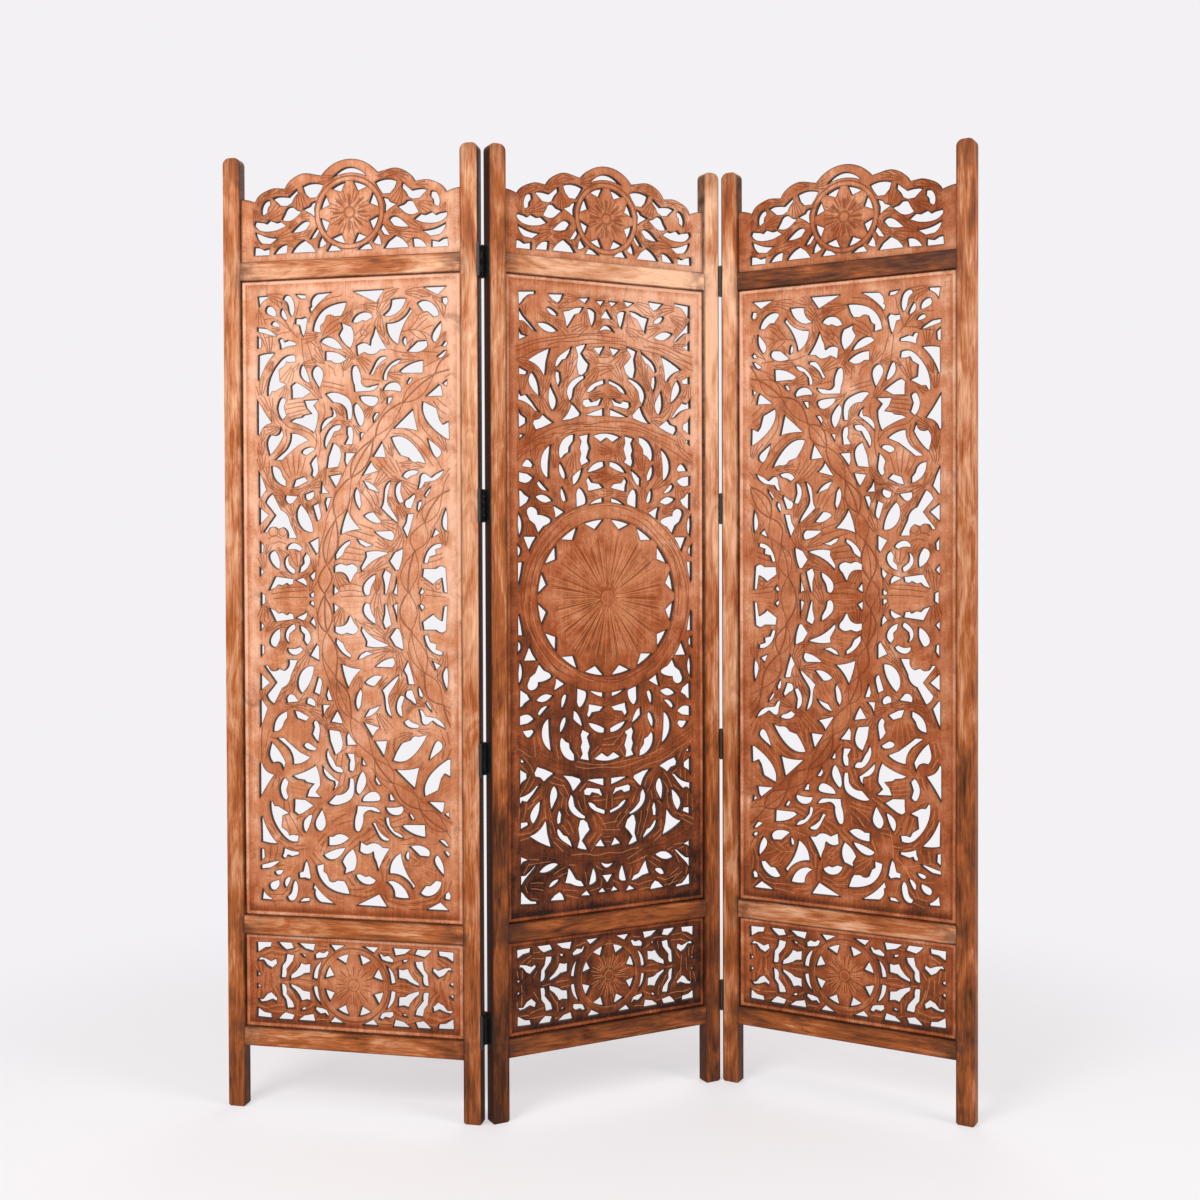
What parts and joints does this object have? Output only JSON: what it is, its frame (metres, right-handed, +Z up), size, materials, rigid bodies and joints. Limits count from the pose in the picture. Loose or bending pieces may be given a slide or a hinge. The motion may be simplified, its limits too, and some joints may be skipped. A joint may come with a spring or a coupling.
{
  "type": "folding screen",
  "caption": "Free-standing wooden folding room screen with tall pierced floral jali panels, scalloped crests and two-way hinges between its leaves.",
  "frame": {"origin": "on the floor, in the middle of the ground that the standing screen covers in its stored zigzag", "axes": "+Z up, +X to the right along the standing screen, +Y away from the front, towards the back"},
  "size_m": [1.4234, 0.2795, 1.829],
  "materials": {
    "frame_wood": "satin orange-brown hardwood with darker streaks",
    "carved_wood": "stained reddish brown, burnt darker round the piercings",
    "hinge_black": "black paint, satin",
    "hinge_steel": "blackened steel"
  },
  "bodies": {
    "centre_leaf": {"centre_stile_left": "frame_wood", "centre_stile_right": "frame_wood", "centre_rail_bottom": "frame_wood", "centre_rail_middle": "frame_wood", "centre_rail_top": "frame_wood", "centre_panel_lower": "carved_wood", "centre_panel_main": "carved_wood", "centre_crest": "carved_wood", "hinge_left_1_plate_right": "hinge_black", "hinge_right_1_plate_left": "hinge_black", "hinge_left_2_plate_right": "hinge_black", "hinge_right_2_plate_left": "hinge_black", "hinge_left_3_plate_right": "hinge_black", "hinge_right_3_plate_left": "hinge_black", "hinge_left_4_plate_right": "hinge_black", "hinge_right_4_plate_left": "hinge_black", "screws_left_line_right": "hinge_steel", "screws_right_line_left": "hinge_steel"},
    "left_link": {"hinge_left_1_link": "hinge_black", "hinge_left_2_link": "hinge_black", "hinge_left_3_link": "hinge_black", "hinge_left_4_link": "hinge_black", "pins_left_front": "hinge_steel", "pins_left_back": "hinge_steel"},
    "left_leaf": {"left_stile_left": "frame_wood", "left_stile_right": "frame_wood", "left_rail_bottom": "frame_wood", "left_rail_middle": "frame_wood", "left_rail_top": "frame_wood", "left_panel_lower": "carved_wood", "left_panel_main": "carved_wood", "left_crest": "carved_wood", "hinge_left_1_plate_left": "hinge_black", "hinge_left_2_plate_left": "hinge_black", "hinge_left_3_plate_left": "hinge_black", "hinge_left_4_plate_left": "hinge_black", "screws_left_line_left": "hinge_steel"},
    "right_link": {"hinge_right_1_link": "hinge_black", "hinge_right_2_link": "hinge_black", "hinge_right_3_link": "hinge_black", "hinge_right_4_link": "hinge_black", "pins_right_front": "hinge_steel", "pins_right_back": "hinge_steel"},
    "right_leaf": {"right_stile_left": "frame_wood", "right_stile_right": "frame_wood", "right_rail_bottom": "frame_wood", "right_rail_middle": "frame_wood", "right_rail_top": "frame_wood", "right_panel_lower": "carved_wood", "right_panel_main": "carved_wood", "right_crest": "carved_wood", "hinge_right_1_plate_right": "hinge_black", "hinge_right_2_plate_right": "hinge_black", "hinge_right_3_plate_right": "hinge_black", "hinge_right_4_plate_right": "hinge_black", "screws_right_line_right": "hinge_steel"}
  },
  "joints": [
    {"name": "left_back_fold", "type": "hinge", "parent": "centre_leaf", "child": "left_link", "pos_m": [-0.20757, -0.10649, 0.914], "axis": [0, 0, 1], "range_deg": [-140, 40]},
    {"name": "left_front_fold", "type": "hinge", "parent": "left_link", "child": "left_leaf", "pos_m": [-0.21376, -0.13686, 0.914], "axis": [0, 0, 1], "range_deg": [0, 90]},
    {"name": "right_front_fold", "type": "hinge", "parent": "centre_leaf", "child": "right_link", "pos_m": [0.25541, 0.10962, 0.914], "axis": [0, 0, 1], "range_deg": [-122, 58]},
    {"name": "right_back_fold", "type": "hinge", "parent": "right_link", "child": "right_leaf", "pos_m": [0.27068, 0.1366, 0.914], "axis": [0, 0, 1], "range_deg": [0, 90]}
  ]
}
